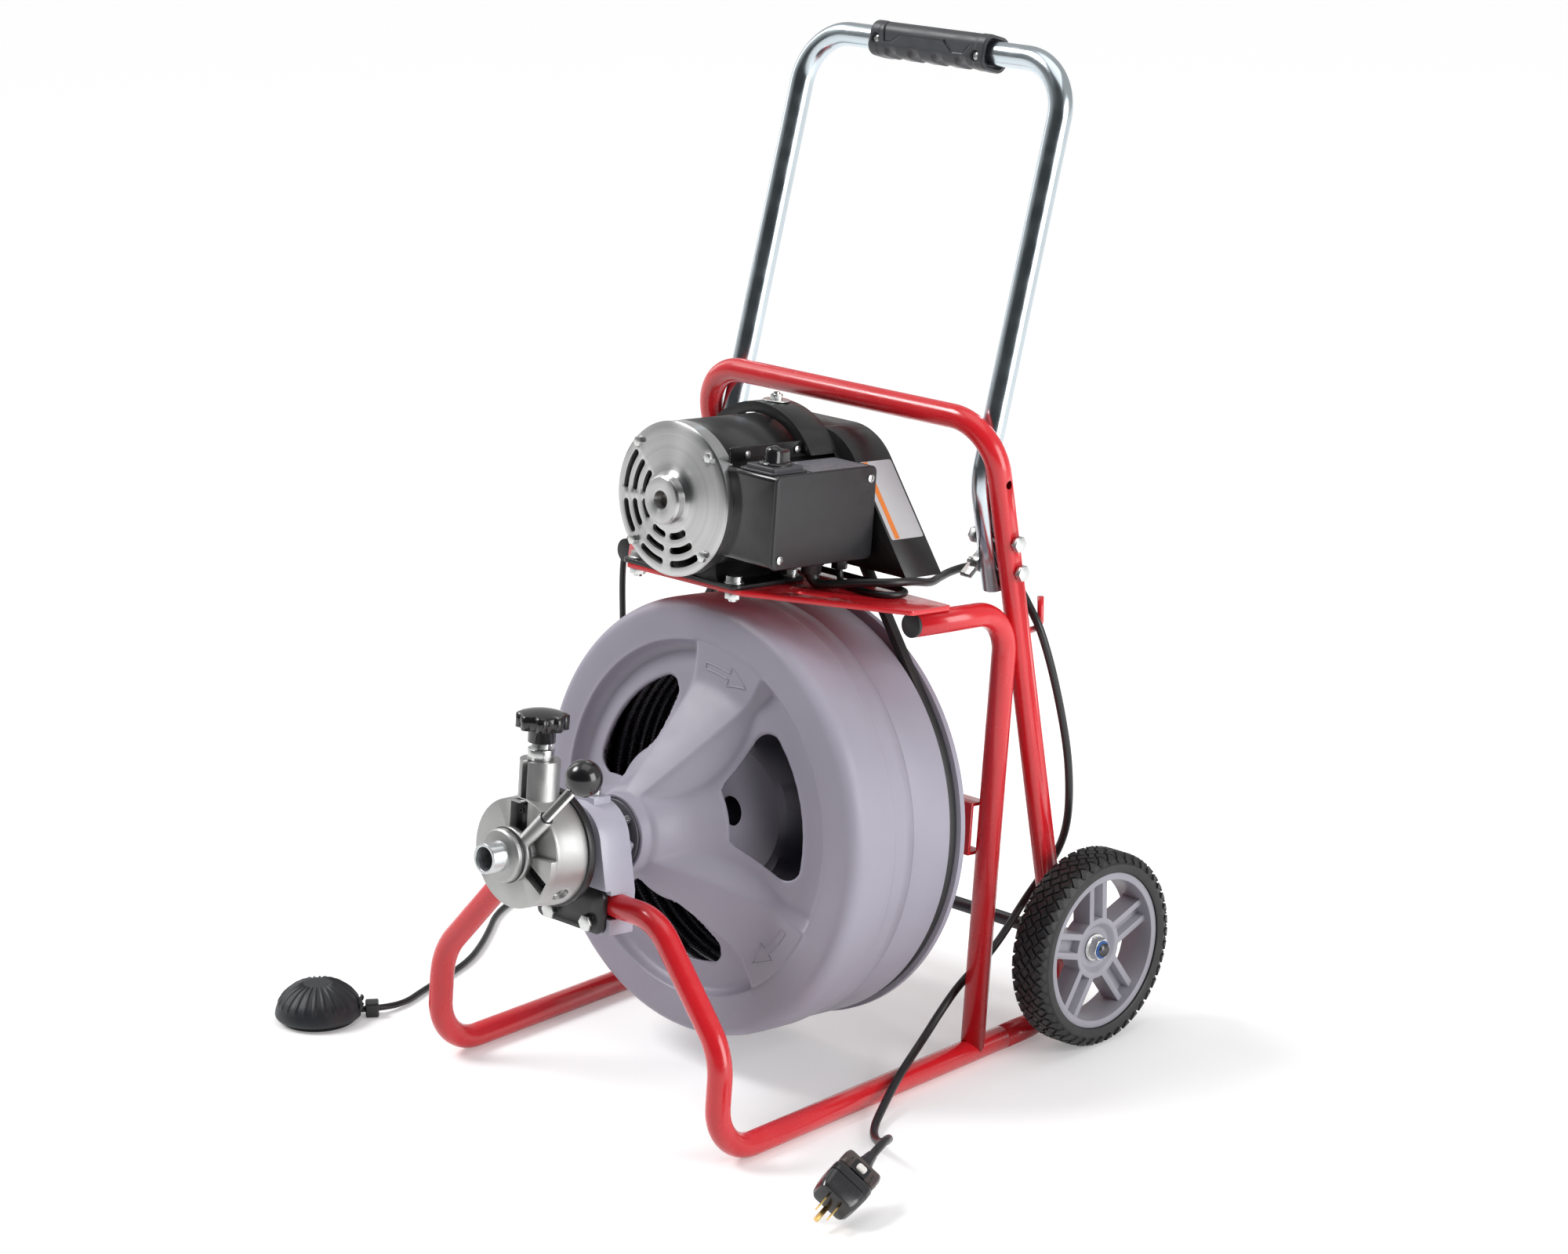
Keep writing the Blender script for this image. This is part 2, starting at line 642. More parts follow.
def build_arrows():
    """Raised outline arrows that show the turning direction on the flat end of each ridge."""
    shapes = []
    corners = [(10, 3), (-2, 3), (-2, 9), (-11, 0), (-2, -9), (-2, -3), (10, -3)]
    middle = 143.0
    steps = 8
    for third in range(3):
        centre = RIDGE_FIRST + 120 * third
        places = []
        for a, b in zip(corners, corners[1:] + corners[:1]):
            for step in range(steps):
                part = step / steps
                angle = centre + a[0] + (b[0] - a[0]) * part
                radius = middle + a[1] + (b[1] - a[1]) * part
                turn = radians(angle)
                places.append((radius * cos(turn), radius * sin(turn), drum_face(radius, angle)))
        places.append(places[0])
        shapes.append((drum_place(), tube(places, ARROW_LINE, 8)))
    assemble("drum_arrows", shapes, "drum", "drum_plastic", crease=60)


build_arrows()

# Coiled cable: the same windings as the solid, with the wire's own winding on the tube
CABLE_RADIUS = 6.25
COIL_PITCH = 13.4
COIL_INNER = 152.0
COIL_BACK = -16.0
CORE_OUTER = 194.0
CORE_CLEAR = 0.3
CORE_SHORT = 4.5
CORE_BEHIND = 8.0
LINING_TURNS = 5
FRONT_TURNS = 2.25
FRONT_LIFT = 5.3
WIRE_PITCH = 3.3
WIRE_STEPS = 3
WIRE_DEPTH = 0.8


def build_cable():
    """Cable wound as a lining and closed at the front, with a plain core behind it."""
    turns = np.linspace(0, LINING_TURNS + FRONT_TURNS, 900)
    front = np.maximum(0, turns - LINING_TURNS)
    ring = COIL_INNER + front * COIL_PITCH
    ahead = COIL_BACK + np.minimum(turns, LINING_TURNS) * COIL_PITCH + np.minimum(FRONT_LIFT, 12 * front)
    coarse = np.column_stack([ring * np.cos(2 * pi * turns), ring * np.sin(2 * pi * turns), ahead])
    lengths = run_lengths(coarse)
    count = int(lengths[-1] / WIRE_PITCH * WIRE_STEPS)
    along = np.linspace(0, lengths[-1], count)
    path = np.column_stack([np.interp(along, lengths, coarse[:, k]) for k in range(3)])
    segments = 10
    phase = 2 * pi * along[:, None] / WIRE_PITCH + 2 * pi * np.arange(segments)[None, :] / segments
    radius = CABLE_RADIUS - WIRE_DEPTH * (1 - np.cos(phase)) / 2
    winding = tube(path, radius, segments)
    core_inner = COIL_INNER + CABLE_RADIUS + CORE_CLEAR
    core_front = COIL_BACK + LINING_TURNS * COIL_PITCH - CORE_SHORT
    core_back = COIL_BACK - CORE_BEHIND
    core = lathe([
        (core_inner, core_back), (CORE_OUTER, core_back), (CORE_OUTER, core_front), (core_inner, core_front),
        (core_inner, core_back),
    ], 96)
    shapes = [(drum_place(), winding), (drum_place(), core)]
    return assemble("wound_cable", shapes, "drum", "cable_steel", crease=60)


wound_cable = build_cable()
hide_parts("cable_coil")

# Tyres with a tread of crossed blocks
AXLE_Y = 223.5
AXLE_Z = 92.4
TYRE_MIDDLE = 227.0
TREAD_BASE = 90.0
TREAD_HIGH = 2.2
TREAD_FLAT = 12.0
TREAD_ROUND = 6.0
TREAD_COUNT = 44
TREAD_ROW = 5.7
TREAD_TURN = 42


def wheel_place(side, x):
    """Matrix on the axle whose local z points out of the machine's side."""
    return placed((side * x, AXLE_Y, AXLE_Z), (0, 1, 0), (side, 0, 0))


def tread_place(angle, across, high):
    """Place on the tyre's crown: an angle, a distance across the tread and a height above its base."""
    turn = max(abs(across) - TREAD_FLAT, 0) / TREAD_ROUND
    lateral = min(abs(across), TREAD_FLAT) + (TREAD_ROUND + high) * sin(turn)
    radius = TREAD_BASE - TREAD_ROUND + (TREAD_ROUND + high) * cos(turn)
    return (radius * cos(angle), radius * sin(angle), copysign(lateral, across))


def tread_block(angle, across, turned):
    """One tread block: a tapered box laid on the crown, turned to a diagonal."""
    long_half = 4.5
    wide_half = 2.7
    c = cos(radians(turned))
    s = sin(radians(turned))
    points = []
    for high, scale in ((-0.6, 1.0), (TREAD_HIGH * 0.75, 0.94), (TREAD_HIGH, 0.8)):
        for u, v in ((-1, -1), (1, -1), (1, 1), (-1, 1)):
            along = scale * (u * long_half * c - v * wide_half * s)
            beside = scale * (u * long_half * s + v * wide_half * c)
            points.append(tread_place(angle + along / TREAD_BASE, across + beside, high))
    return points, capped_faces(3, 4)


def build_tyre(name, side, body, node):
    """Tyre with a smooth outer wall, a bead ring and crossed tread blocks."""
    bead = (74.2, -18.5)
    shoulder = TREAD_BASE - TREAD_ROUND
    profile = [bead, (76, -19.6), (82, -19.7), (shoulder, -TREAD_FLAT - TREAD_ROUND)]
    for step in range(1, 6):
        turn = radians(90 - 90 * step / 6)
        profile.append((shoulder + TREAD_ROUND * cos(turn), -TREAD_FLAT - TREAD_ROUND * sin(turn)))
    profile.append((TREAD_BASE, -TREAD_FLAT))
    profile += [(radius, -along) for radius, along in reversed(profile)]
    profile.append(bead)
    shapes = [lathe(profile, 128)]
    pitch = 2 * pi / TREAD_COUNT
    for row in range(-3, 4):
        for step in range(TREAD_COUNT):
            angle = pitch * (step + 0.5 * (row % 2))
            turned = TREAD_TURN if row % 2 else -TREAD_TURN
            shapes.append(tread_block(angle, row * TREAD_ROW, turned))
    local = wheel_place(side, TYRE_MIDDLE)
    piece = assemble(name, [(local, shape) for shape in shapes], body, "tyre_rubber", crease=40)
    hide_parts(node)


build_tyre("right_tread", 1, "right_wheel", "right_tyre")
build_tyre("left_tread", -1, "left_wheel", "left_tyre")

# Handle grip: a moulded body with finger scallops, grooves, recessed screws and end collars
GRIP_HALF = 70.5
GRIP_DEEP = 36.0
GRIP_TALL = 33.0
GRIP_SINK = 0.6
HANDLE_BEND = Vector((159, 148.6, 538))
HANDLE_TOP = Vector((159, 265.9, 898.4))
handle_way = (HANDLE_TOP - HANDLE_BEND).normalized()
handle_front = Vector((0, -handle_way.z, handle_way.y))
grip_place = placed((0, HANDLE_TOP.y, HANDLE_TOP.z - GRIP_SINK), RIGHT, handle_front)
GROOVE_LINES = [
    [(-55.5, 16), (-52, -3)],
    [(-52, -3), (-43, -3), (-33, 4), (-16, 4), (20, 4)],
    [(33, -5), (46, -5), (52, 3)],
]
THICK_SLOTS = [[(-55.5, 15), (-51, -3)], [(21, 4), (32, -5)]]
SCREW_WELLS = [(-63.0, -1.5), (60.5, -5.5)]
WELL_RADIUS = 4.6
WELL_DEPTH = 3.2
SCALLOP_PITCH = 29.0
SCALLOP_DEPTH = 4.6
LINE_DEPTH = 0.7
SLOT_DEPTH = 1.8


def line_distance(x, y, line):
    """Least distance of flat points from a bent line."""
    points = np.stack([x, y], axis=-1)
    corners = np.array(line, float)
    least = np.full(x.shape, 1e9)
    for a, b in zip(corners, corners[1:]):
        least = np.minimum(least, np.linalg.norm(points - nearest_on(points, a, b), axis=-1))
    return least


def build_grip():
    """Grip lofted along the bar: finger scallops below, moulded grooves, slots and screw wells in front, and
    hollow ends round the bar."""
    half_deep = GRIP_DEEP / 2
    half_tall = GRIP_TALL / 2
    corner = 11.0
    front = [(half_deep, y) for y in np.arange(-half_tall + corner, half_tall - corner + 0.01, 0.55)]
    outline = rounded_box(half_deep, half_tall, corner, 16)
    quarter = len(outline) // 4
    outline = np.array(outline[3 * quarter:] + front[1:-1] + outline[:3 * quarter])
    stations = np.linspace(-GRIP_HALF, GRIP_HALF, 257)
    x, depth = np.meshgrid(stations, outline[:, 0], indexing="ij")
    height = np.broadcast_to(outline[:, 1], x.shape).copy()
    end = GRIP_HALF - np.abs(x)
    band = ease(11.5, 10.0, end)
    shrink = 1 - 0.05 * np.clip(1 - end / 2.5, 0, 1) ** 2 - 0.025 * (1 - band)
    wave = np.cos(2 * pi * (x + SCALLOP_PITCH / 2) / SCALLOP_PITCH)
    scallop = SCALLOP_DEPTH * np.maximum(0, wave) ** 0.8
    scallop = np.where(np.abs(x) < 2 * SCALLOP_PITCH, scallop, 0) * ease(-5.0, -half_tall, height)
    facing = ease(6.0, 14.0, depth)
    sunk = np.zeros(x.shape)
    for line in GROOVE_LINES:
        sunk = np.maximum(sunk, LINE_DEPTH * ease(0.75, 0.25, line_distance(x, height, line)))
    for line in THICK_SLOTS:
        sunk = np.maximum(sunk, SLOT_DEPTH * ease(1.3, 0.8, line_distance(x, height, line)))
    for well_x, well_y in SCREW_WELLS:
        away = np.hypot(x - well_x, height - well_y)
        sunk = np.maximum(sunk, WELL_DEPTH * ease(WELL_RADIUS + 0.5, WELL_RADIUS - 0.2, away))
    local = np.stack([x, height * shrink + scallop, depth * shrink - sunk * facing], axis=-1)
    rings = [list(ring) for ring in local]
    for side, at in ((-1, 0), (1, -1)):
        rim = np.array(rings[at])
        inner = [(side * (GRIP_HALF - 0.1), y * 0.86, z * 0.86) for _, y, z in rim]
        floor = [(side * (GRIP_HALF - 7), y * 0.76, z * 0.76) for _, y, z in rim]
        rings = [floor, inner] + rings if side < 0 else rings + [inner, floor]
    return loft(rings)


grip_body = assemble("grip_body", [(grip_place, build_grip())], "handle", "grip_plastic", crease=40)
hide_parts("grip")
grip_screws = []
for well_x, well_y in SCREW_WELLS:
    seat = grip_place @ Matrix.Translation((well_x, well_y, GRIP_DEEP / 2 - WELL_DEPTH - 0.9))
    grip_screws.append((seat, cross_screw(3.6, 2.4)))
assemble("grip_screws", grip_screws, "handle", "zinc_steel")


# Switch box: bezel, pointer knob, blank plate, mounting strip and screws
def side_place(x, rise, ahead):
    """Matrix whose local x is to the back, y is up and z points right."""
    return placed(raked(x, rise, ahead), -FORWARD, RIGHT)


BOX_HIGH = 332.0
KNOB_X = 72.0
KNOB_AHEAD = 92.0
switch_bezel = assemble("switch_bezel", [
    (deck_place(BOX_HIGH, KNOB_X - 1, KNOB_AHEAD), slab(21, 22, 3, 0, 1.9, 0.4)),
    (deck_place(BOX_HIGH, KNOB_X, KNOB_AHEAD), holed_slab(17.5, 19, 3, 15.4, 1.5, 5.6, 0.6)),
], "frame", "switch_grey")
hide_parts("switch_plate")
assemble("box_plate", [(deck_place(BOX_HIGH, 73.5, 31.5), slab(21.5, 36, 2, -0.3, 0.7, 0.2))], "frame",
         "switch_grey", "smoky_plate")
assemble("mounting_strip", [(side_place(33.0, 338.5, 53), slab(58, 8.5, 2, 0, 2.2, 0.6))], "frame",
         "black_plastic", "gloss_black")
box_screws = []
for rise, ahead in ((322, -2), (258, 108)):
    box_screws.append((side_place(100, rise, ahead), cross_screw(3.7, 2.2)))
for ahead in (90, 27):
    box_screws.append((side_place(35.2, 339.5, ahead), cross_screw(3.5, 2.4)))
assemble("box_screws", box_screws, "frame", "zinc_steel")


def build_pointer_knob():
    """Pointer knob: a round base and a drop-shaped grip that is longer to the back."""
    base = lathe([(0.01, 0), (14.3, 0), (14.7, 0.5), (14.7, 4.4), (14.0, 5.2), (12.5, 5.6), (0.01, 5.6)], 64)
    outline = []
    for step in range(48):
        turn = 2 * pi * step / 48
        wide = sin(turn) < 0.15
        radius = 8.6 if wide else 4.2
        outline.append((radius * cos(turn), radius * sin(turn) + (-2.0 if wide else 12.5)))
    levels = ((5.0, 1.06), (6.5, 1.0), (13.5, 0.97), (16.8, 0.90), (18.7, 0.74), (19.7, 0.42), (19.8, 0.1))
    rings = []
    for high, scale in levels:
        ring = []
        for x, y in outline:
            slope = 1 - 0.16 * (y + 10) / 27 * (high - 5) / 15
            ring.append((x * scale, 2 + (y - 2) * scale, high * slope))
        rings.append(ring)
    return joined([base, loft(rings)])


knob_place = deck_place(BOX_HIGH + 2.4, KNOB_X, KNOB_AHEAD)
pointer_knob = assemble("pointer_knob", [(knob_place, build_pointer_knob())], "switch_knob", "black_plastic",
                        "gloss_black", 32)
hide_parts("switch_knob")

# Blank panel with one stripe on the leaning side of the belt guard
LEAN = radians(37)
skirt_out = RIGHT * cos(LEAN) + UPWARD * sin(LEAN)
panel_down = 42.0
panel_centre = raked(67.9 + panel_down * sin(LEAN), 332.1 - panel_down * cos(LEAN), -38.5)
panel_place = placed(panel_centre, -FORWARD, skirt_out)
assemble("guard_panel", [(panel_place, slab(21, 39, 2.5, -0.2, 0.45, 0.15))], "frame", "black_paint",
         "panel_grey")
stripe_place = panel_place @ Matrix.Translation((-13.2, 0, 0.42))
assemble("guard_stripe", [(stripe_place, slab(2.9, 38.4, 0.3, -0.1, 0.18, 0.05))], "frame", "black_paint",
         "orange_stripe")
washer = [(3.2, 0), (12.0, 0), (12.6, 0.5), (12.6, 1.1), (12.0, 1.6), (3.2, 1.6), (3.2, 0)]
assemble("stud_washer", [(deck_place(372.6, -21, -1), lathe(washer, 48))], "frame", "zinc_steel")


# Autofeed trim, hub screws and latch, and the locking rings of the axle nuts
def on_axis(angle, reach, ahead):
    """World place at an angle and a reach from the drum axis, the angle taken from X towards rise."""
    return raked(reach * cos(radians(angle)), reach * sin(radians(angle)), ahead)


def outward_place(angle, reach, ahead):
    """Matrix whose local z points away from the drum axis."""
    way = on_axis(angle, 1, 0) - DRUM_CENTRE
    return placed(on_axis(angle, reach, ahead), FORWARD, way)


seal_ring = [
    (23.4, 318.9), (24.4, 319.2), (24.8, 320.2), (24.8, 321.0), (24.4, 322.0), (23.4, 322.3), (23.4, 318.9),
]
assemble("nose_seal", [(drum_place(), lathe(seal_ring, 96))], "frame", "black_plastic")
edge_ring = [(48.2, 303.6), (48.75, 303.9), (48.75, 304.6), (48.2, 304.9), (48.2, 303.6)]
assemble("feed_edge_ring", [(drum_place(), lathe(edge_ring, 128))], "frame", "cast_aluminium")
socket_head = [(0.01, 0.2), (1.2, 0.2), (1.2, 1.2), (2.4, 1.2), (2.7, 0.9), (2.7, -0.3)]
carrier_screws = []
for angle in (90, 210, 330):
    carrier_screws.append((placed(on_axis(angle, 37.5, 303), RIGHT, FORWARD), lathe(socket_head, 24)))
assemble("carrier_screws", carrier_screws, "frame", "black_paint")
side_bolt = [(0.01, 1.2), (2.8, 1.2), (2.8, 3.6), (5.6, 3.6), (6.2, 3.0), (6.2, -0.3)]
assemble("side_bolt", [(outward_place(-40, 43, 288), lathe(side_bolt, 36))], "frame", "zinc_steel")
rod_ring = [(4.5, -0.4), (6.0, -0.4), (6.0, 0.5), (5.5, 0.9), (4.5, 0.9), (4.5, -0.4)]
assemble("rod_ring", [(outward_place(46, 56, 310.9), lathe(rod_ring, 36))], "feed_lever", "black_plastic")
COLLAR_FACE = 193.0
LATCH_ANGLE = -21
hub_screws = []
for angle in (44, 164, 284):
    hub_screws.append((placed(on_axis(angle, 25.5, COLLAR_FACE), RIGHT, FORWARD), cross_screw(3.8, 2.2)))
assemble("hub_screws", hub_screws, "drum", "zinc_steel")
latch_way = on_axis(LATCH_ANGLE, 1, 0) - DRUM_CENTRE
latch_place = placed(on_axis(LATCH_ANGLE, 23, COLLAR_FACE), latch_way, FORWARD)
assemble("hub_latch", [(latch_place, slab(5.0, 8.5, 2.5, -0.5, 8, 1.5))], "drum", "drum_plastic")
NUT_END = 241.0
lock_ring = [(6.45, -0.6), (8.6, -0.6), (8.6, 0.6), (7.8, 1.4), (6.45, 1.4), (6.45, -0.6)]
assemble("nut_rings", [
    (wheel_place(side, NUT_END), lathe(lock_ring, 48)) for side in (-1, 1)
], "frame", "zinc_steel", "blue_nylon")

# Power cord and air hose on the same routes as the solids
CORD_X = 75.0
CORD_AHEAD = 40.0
HOSE_X = 80.0
HOSE_AHEAD = 9.0
GLAND_LOW = 236.0
CORD_RADIUS = 3.8
HOSE_RADIUS = 3.0
PLUG_CENTRE = Vector((330, -212, 29.5))
PLUG_WAY = Vector((0.22, -0.945, -0.24)).normalized()
PLUG_SIDE = Vector((0.676, 0.407, -0.615))
PLUG_LONG = 52.0
TAIL = 18.0
plug_tail_end = PLUG_CENTRE - PLUG_WAY * (PLUG_LONG / 2 + TAIL)
PEDAL = Vector((-342, -232, 0))
PEDAL_BASE_RADIUS = 35.0
pedal_way = Vector((0.647, 0.762, 0)).normalized()
pedal_wall = PEDAL + Vector((0, 0, 7)) + pedal_way * PEDAL_BASE_RADIUS

cord_points = [
    raked(CORD_X, GLAND_LOW + 10, CORD_AHEAD), raked(CORD_X, 226.3, CORD_AHEAD), raked(96, 228.5, 36),
    raked(120, 234, 24), raked(142, 236, 6), raked(146.5, 236, -18), raked(141.5, 230.5, -46),
    (128, 126, 449), (120, 150, 448), (120, 173, 448), (129, 191, 446), (147, 199, 440), (163, 197, 429),
    (178, 193, 415), (191, 193, 397), (199, 203, 350), (200.5, 219, 284), (198, 226, 240), (190, 233, 203),
    (176, 238, 172), (160, 233, 144), (152, 214, 119), (154, 187, 98), (157, 158, 82), (158, 120, 67),
    (161, 90, 49), (168, 60, 34), (181, 28, 28), (195, -4, 22.5), (210, -38, 12), (228, -72, 4.5),
    (251, -92, 6), (274, -106, 17), (296, -122, 33), plug_tail_end - PLUG_WAY * 22, plug_tail_end,
]
HOSE_ON_DECK = 225.5
deck_run = [
    (HOSE_X, HOSE_AHEAD), (98, 14.5), (116, 17), (138.4, 17), (148.8, -1), (138.4, -19), (108, -18.2),
    (50, -19.2), (-30, -18.2), (-95, -19.2), (-145, -18.2), (-178, -16.5), (-199, -14),
]
hose_points = [raked(HOSE_X, GLAND_LOW + 11, HOSE_AHEAD)]
hose_points += [raked(x, HOSE_ON_DECK, ahead) for x, ahead in deck_run]
hose_points += [
    raked(-216, 205, -12), raked(-221, 175, -14), (-222, 62, 340), (-221, 61, 270), (-222.5, 61.5, 195),
    (-221, 63, 125), (-223, 68, 68), (-231, 80, 28), (-250, 102, 5), (-277, 135, 3.3), (-310, 165, 3.5),
    (-350, 184, 3.3), (-390, 184, 3.5), (-422, 164, 3.3), (-437, 130, 3.5), (-434, 93, 3.3), (-417, 58, 3.5),
    (-392, 28, 3.3), (-366, -6, 3.5), (-343, -42, 3.5), (-328, -84, 3.3), (-316, -125, 3.5),
    (-304, -158, 3.6), pedal_wall + pedal_way * 20, pedal_wall - pedal_way * 4,
]


def build_cord(name, points, radius, node):
    """Round cord on one smooth curve through its route."""
    curve = bpy.data.curves.new(name, "CURVE")
    curve.dimensions = "3D"
    curve.bevel_depth = radius * MM
    curve.bevel_resolution = 6
    curve.resolution_u = 10
    curve.use_fill_caps = True
    spline = curve.splines.new("NURBS")
    spline.points.add(len(points) - 1)
    for place, point in zip(spline.points, points):
        place.co = (*(Vector(point) * MM), 1)
    spline.order_u = 3
    spline.use_endpoint_u = True
    piece = add_object(name, curve)
    dress(piece, "cord_rubber")
    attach(piece, "frame")
    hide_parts(node)
    return piece


mains_cord = build_cord("mains_cord", cord_points, CORD_RADIUS, "power_cord")
pedal_hose = build_cord("pedal_hose", hose_points, HOSE_RADIUS, "air_hose")
RELIEF_LONG = 28.0
RELIEF_FLARE = 3.0


def build_relief():
    """Tapered sleeve on the first stretch of the power cord, below its gland."""
    first, second, third, fourth = cord_points[:4]
    half = (second + third) / 2
    later = (third + fourth) / 2
    path = []
    for start, bend, stop in ((first, second, half), (half, third, later)):
        for t in np.arange(24) / 24:
            path.append(start * (1 - t) ** 2 + bend * 2 * t * (1 - t) + stop * t * t)
    path = np.array(path)
    below = (path - np.array(DRUM_CENTRE)) @ np.array(UPWARD) < GLAND_LOW + 1
    path = path[np.argmax(below):]
    along = run_lengths(path)
    kept = along < RELIEF_LONG
    radius = CORD_RADIUS + 0.2 + RELIEF_FLARE * (1 - along[kept] / RELIEF_LONG) ** 2.5
    return tube(path[kept], radius, 24)


world_place = Matrix.Scale(MM, 4)
cord_relief = assemble("cord_relief", [(world_place, build_relief())], "frame", "cord_rubber", crease=50)

# Plug: a black blade block with a smoky cover behind it, and its reset button
plug_side = (PLUG_SIDE - PLUG_WAY * PLUG_SIDE.dot(PLUG_WAY)).normalized()
plug_place = placed(PLUG_CENTRE, plug_side, PLUG_WAY)
BUTTON_BACK = 13.0
plug_rings = [
    (26, 14.0, -9.0, 9.0, 4), (25.2, 16, -11, 10.8, 5), (22, 18, -12.8, 12.2, 6),
    (14, 19.4, -13.7, 13.2, 6.5), (6.2, 20, -14, 13.6, 6.5), (5.6, 19.5, -13.5, 13.0, 6.3),
    (5.0, 20, -14, 13.8, 6.5), (1, 20, -14, 14, 6.5), (-3, 20, -14, 13.9, 6.5), (-5.5, 19.8, -14, 12.6, 6.5),
    (-6.6, 19.4, -13.8, 11.0, 6.3), (-6.7, 18.6, -13.6, 1, 5), (-20, 18.4, -13.4, 1, 5),
    (-25, 17.4, -12.2, 0.5, 5), (-26, 15.5, -10.5, -1, 4),
]
cover_rings = [
    (-6.4, 17.8, 0.6, 10.6, 4.2), (-7.4, 18.8, 0.4, 11.6, 4.4), (-12, 19.2, 0.3, 12.0, 4.6),
    (-20, 19.0, 0.4, 11.6, 4.6), (-24.6, 18.0, 0.8, 10.2, 4.2), (-26, 15.6, 1.6, 8.4, 3),
]


def box_loft(rows):
    """Loft through rounded boxes given as (along, half width, low, high, corner)."""
    rings = []
    for along, half, low, high, corner in rows:
        middle = (low + high) / 2
        rings.append([(x, y + middle, along) for x, y in rounded_box(half, (high - low) / 2, corner)])
    return loft(rings)


tail = lathe([(0.01, -25), (8.2, -25), (8.4, -27), (6.2, -35), (4.7, -43.8), (0.01, -43.8)], 40)
plug_shapes = [(plug_place, box_loft(plug_rings)), (plug_place, tail)]
plug_shell = assemble("plug_shell", plug_shapes, "frame", "plug_plastic")
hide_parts("plug_body")
plug_cover = assemble("plug_cover", [(plug_place, box_loft(cover_rings))], "frame", "plug_plastic",
                      "smoky_cover")
button_seat = placed(PLUG_CENTRE - PLUG_WAY * BUTTON_BACK, plug_side, plug_side.cross(PLUG_WAY) * -1)
plug_trim_shapes = [(button_seat, holed_slab(8.2, 6.6, 1.2, 5.4, 11.2, 12.9, 0.4))]
for side in (-1, 1):
    mark = [(side * 12.5, -5, 12.0), (side * 12.5, 0, 12.1), (side * 11.6, 1, 12.1), (side * 11.6, 5, 12.0)]
    plug_trim_shapes.append((button_seat, tube(mark, 0.45, 8)))
plug_trim = assemble("plug_trim", plug_trim_shapes, "frame", "plug_plastic")
reset_button = assemble("reset_button", [(button_seat, slab(4.6, 3.6, 2.6, 10.5, 15.4, 1.0))], "plug_button",
                        "button_white")
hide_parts("plug_button")

# Foot pedal: ribbed rubber dome with a notch for the hose, and the hose's block
pedal_profile = [
    (40.7, 5), (41.4, 6.3), (41.4, 8.5), (40.4, 12.5), (38.7, 16.5), (36.6, 20.3), (34, 23.6), (30, 27.4),
    (26, 30.5), (22, 32.9), (17, 34.9), (12.8, 35.8), (11.8, 36), (6, 36), (0.05, 36),
]
RIBS = 24
RIB_COLUMNS = 12
RIB_HIGH = 1.1
PEDAL_WALL = 2.4
SKIRT_RADIUS = 42.0
NOTCH_RADIUS = 12.0
NOTCH_RISE = 7.0


def build_pedal():
    """Dome with radial ribs round a flat top disc and an arched notch in its skirt."""
    table = np.array(pedal_profile)
    steps = np.arange(len(table), dtype=float)
    fine = np.linspace(0, len(table) - 1, 76)
    radius = smooth_line(np.column_stack([steps, table[:, 0]]), fine)
    height = smooth_line(np.column_stack([steps, table[:, 1]]), fine)
    columns = RIBS * RIB_COLUMNS
    turns = np.arange(columns) * 2 * pi / columns
    hose_turn = np.arctan2(pedal_way.y, pedal_way.x)
    ribs = np.maximum(0, np.cos(RIBS * turns)) ** 1.5
    window = ease(12.4, 13.6, radius) * ease(39.5, 37.5, radius)
    raised = RIB_HIGH * window[:, None] * ribs[None, :]
    high = height[:, None] + raised
    wide = radius[:, None] + 0.5 * raised
    across = SKIRT_RADIUS * np.sin(turns - hose_turn)
    facing = np.cos(turns - hose_turn) > 0
    arch = np.where(facing & (np.abs(across) < NOTCH_RADIUS),
                    NOTCH_RISE + np.sqrt(np.maximum(NOTCH_RADIUS ** 2 - across ** 2, 0)), 0)
    high = np.maximum(high, arch[None, :])
    local = np.stack([wide * np.cos(turns), wide * np.sin(turns), high], axis=-1)
    return local.reshape(-1, 3), grid_faces(len(fine), columns, wrap_columns=True)


pedal_place = placed(PEDAL, RIGHT, (0, 0, 1))
pedal_top = assemble("pedal_top", [(pedal_place, build_pedal())], "pedal", "pedal_rubber", crease=60)
thicken(pedal_top, PEDAL_WALL)
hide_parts("pedal_dome")
hose_block_place = placed(PEDAL + Vector((0, 0, 7.6)) + pedal_way * 45.5, (0, 0, 1), pedal_way)
hose_block = assemble("hose_block", [(hose_block_place, slab(7.2, 7.5, 2, -1.5, 11, 1.0))], "frame",
                      "black_plastic")

# Camera at the photograph's viewing angle
CAMERA_PLACE = (2.52956, -2.50028, 1.48057)
AZIMUTH = radians(44.70)
PITCH = radians(16.84)
ROLL = radians(-0.78)
camera_data = bpy.data.cameras.new("camera")
camera_data.sensor_fit = "HORIZONTAL"
camera_data.sensor_width = 36
camera_data.lens = 94.56
camera = add_object("camera", camera_data)
upright = Matrix.Rotation(AZIMUTH, 4, "Z") @ Matrix.Rotation(pi / 2 - PITCH, 4, "X")
camera.matrix_world = Matrix.Translation(CAMERA_PLACE) @ upright @ Matrix.Rotation(ROLL, 4, "Z")
bpy.context.scene.camera = camera


# Floor, lamps and world
FLOOR_HALF = 15.0


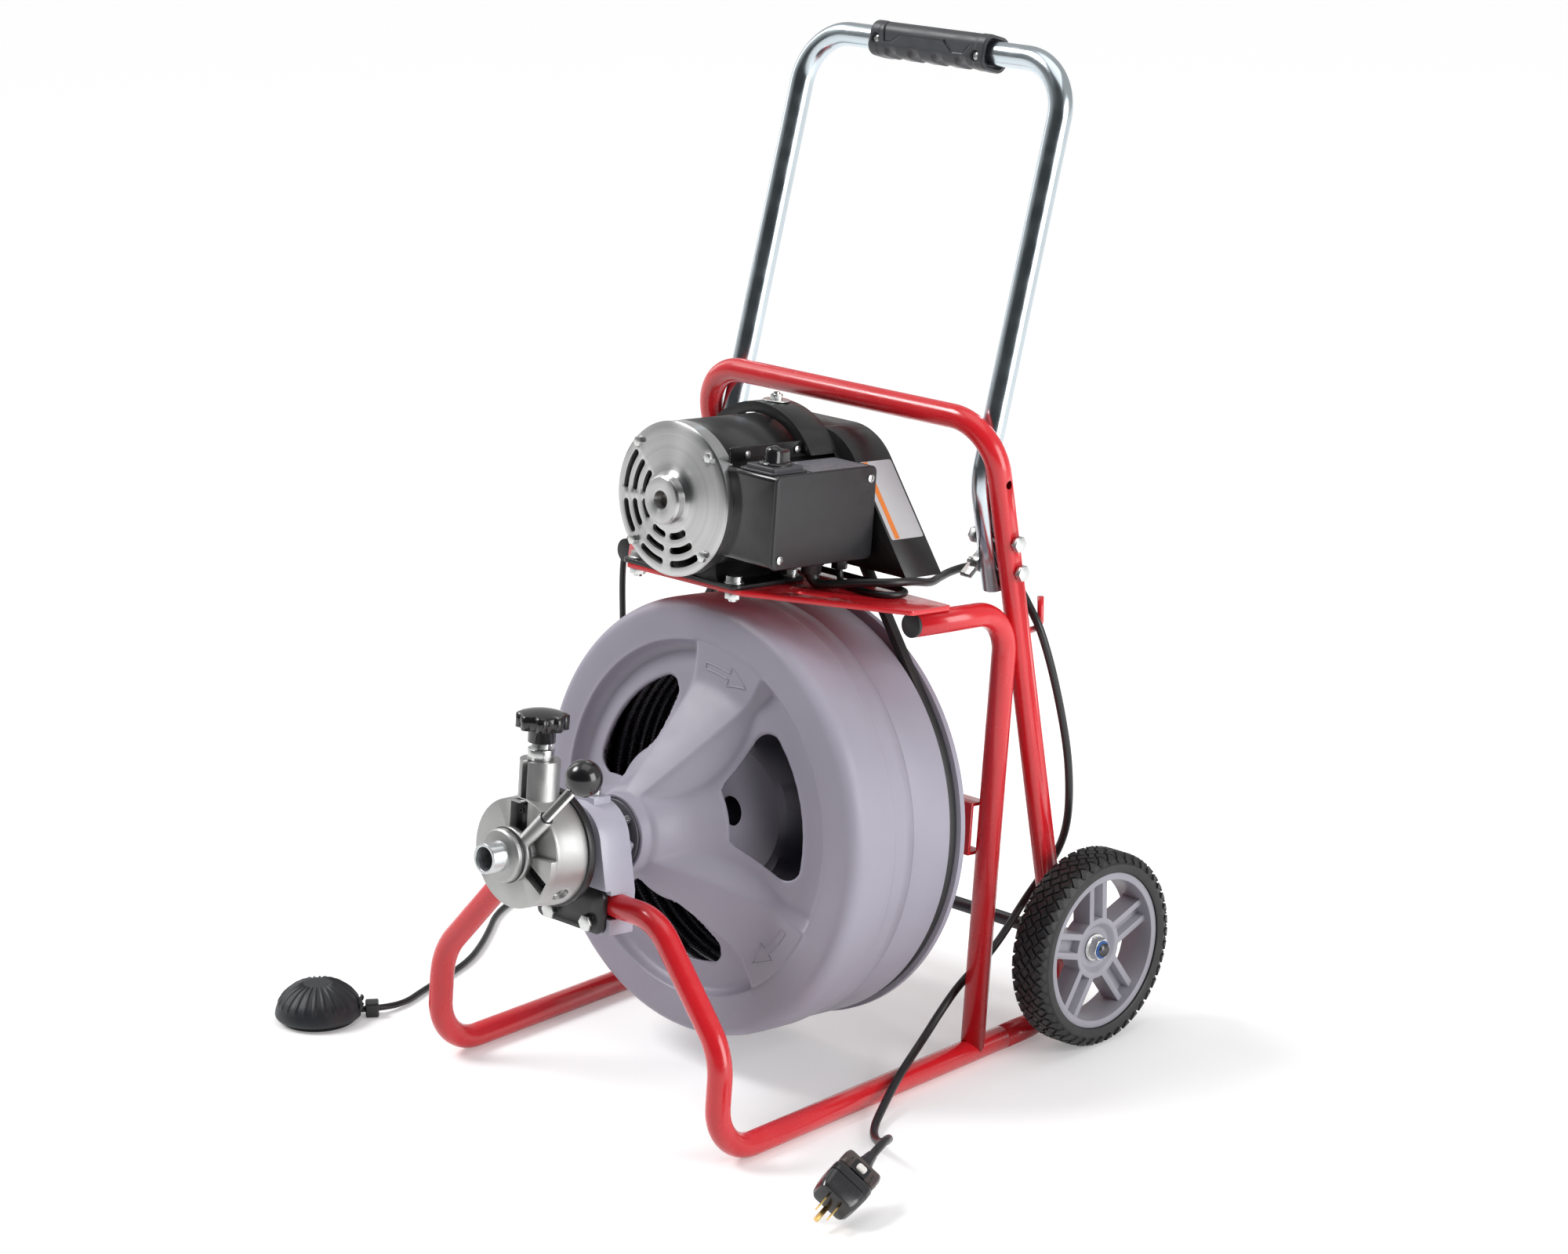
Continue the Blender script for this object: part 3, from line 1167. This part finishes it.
def build_floor():
    """Pale floor that keeps the object's shadow."""
    mesh = bpy.data.meshes.new("floor")
    corners = [(x * FLOOR_HALF, y * FLOOR_HALF, 0) for x, y in ((-1, -1), (1, -1), (1, 1), (-1, 1))]
    mesh.from_pydata(corners, [], [(0, 1, 2, 3)])
    piece = add_object("floor", mesh)
    tree, shader, _ = start_material("floor")
    light_path = tree.nodes.new("ShaderNodeLightPath")
    seen = light_path.outputs["Is Camera Ray"]
    for ray in ("Is Glossy Ray", "Is Transmission Ray"):
        either = add_node(tree, "Math", {0: seen, 1: light_path.outputs[ray]})
        either.operation = "MAXIMUM"
        seen = either.outputs["Value"]
    feed(tree, shader, {
        "Base Color": (0.86, 0.86, 0.86, 1), "Roughness": 0.6, "Specular IOR Level": 0.1,
        "Emission Strength": seen, "Emission Color": (0.25, 0.25, 0.25, 1),
    })
    mesh.materials.append(looks["floor"])


build_floor()


def build_lamp(name, kind, place, aim, power):
    """Lamp at a place, aimed at a point."""
    lamp = bpy.data.lights.new(name, kind)
    lamp.energy = power
    piece = add_object(name, lamp)
    piece.location = place
    piece.rotation_euler = (Vector(aim) - Vector(place)).to_track_quat("-Z", "Y").to_euler()
    return lamp


def build_panel(name, place, aim_high, wide, tall, power):
    """Soft lamp panel aimed at a height above the floor's middle."""
    lamp = build_lamp(name, "AREA", place, (0, 0, aim_high), power)
    lamp.shape = "RECTANGLE"
    lamp.size = wide
    lamp.size_y = tall


key_lamp = build_lamp("key", "SUN", (0, 0, 0), (0.70, 0.52, -1.0), 2.1)
key_lamp.angle = radians(24)
build_panel("right_panel", (2.7, 0.6, 1.1), 0.45, 1.6, 1.9, 54)
build_panel("left_panel", (-2.4, 0.2, 1.7), 0.4, 0.9, 2.2, 10)
build_panel("top_panel", (0.4, 0.2, 3.0), 0.4, 2.0, 2.0, 14)


def build_world():
    """Pale studio surroundings that are darker in front of the object."""
    world = bpy.data.worlds.new("studio")
    world.use_nodes = True
    tree = world.node_tree
    coords = tree.nodes.new("ShaderNodeTexCoord").outputs["Generated"]
    front = Vector((0.35, -0.93, 0.1)).normalized()
    towards = add_node(tree, "VectorMath", {0: coords, 1: front})
    towards.operation = "DOT_PRODUCT"
    dark = add_node(tree, "MapRange", {"Value": towards.outputs["Value"], "From Min": 0.05, "From Max": 0.75})
    dark.interpolation_type = "SMOOTHSTEP"
    colour = tinted(tree, dark.outputs["Result"], (1.0, 1.0, 1.0), (0.10, 0.105, 0.11))
    feed(tree, tree.nodes["Background"], {"Color": colour, "Strength": 0.5})
    bpy.context.scene.world = world


build_world()

bpy.context.scene.view_settings.view_transform = "Standard"
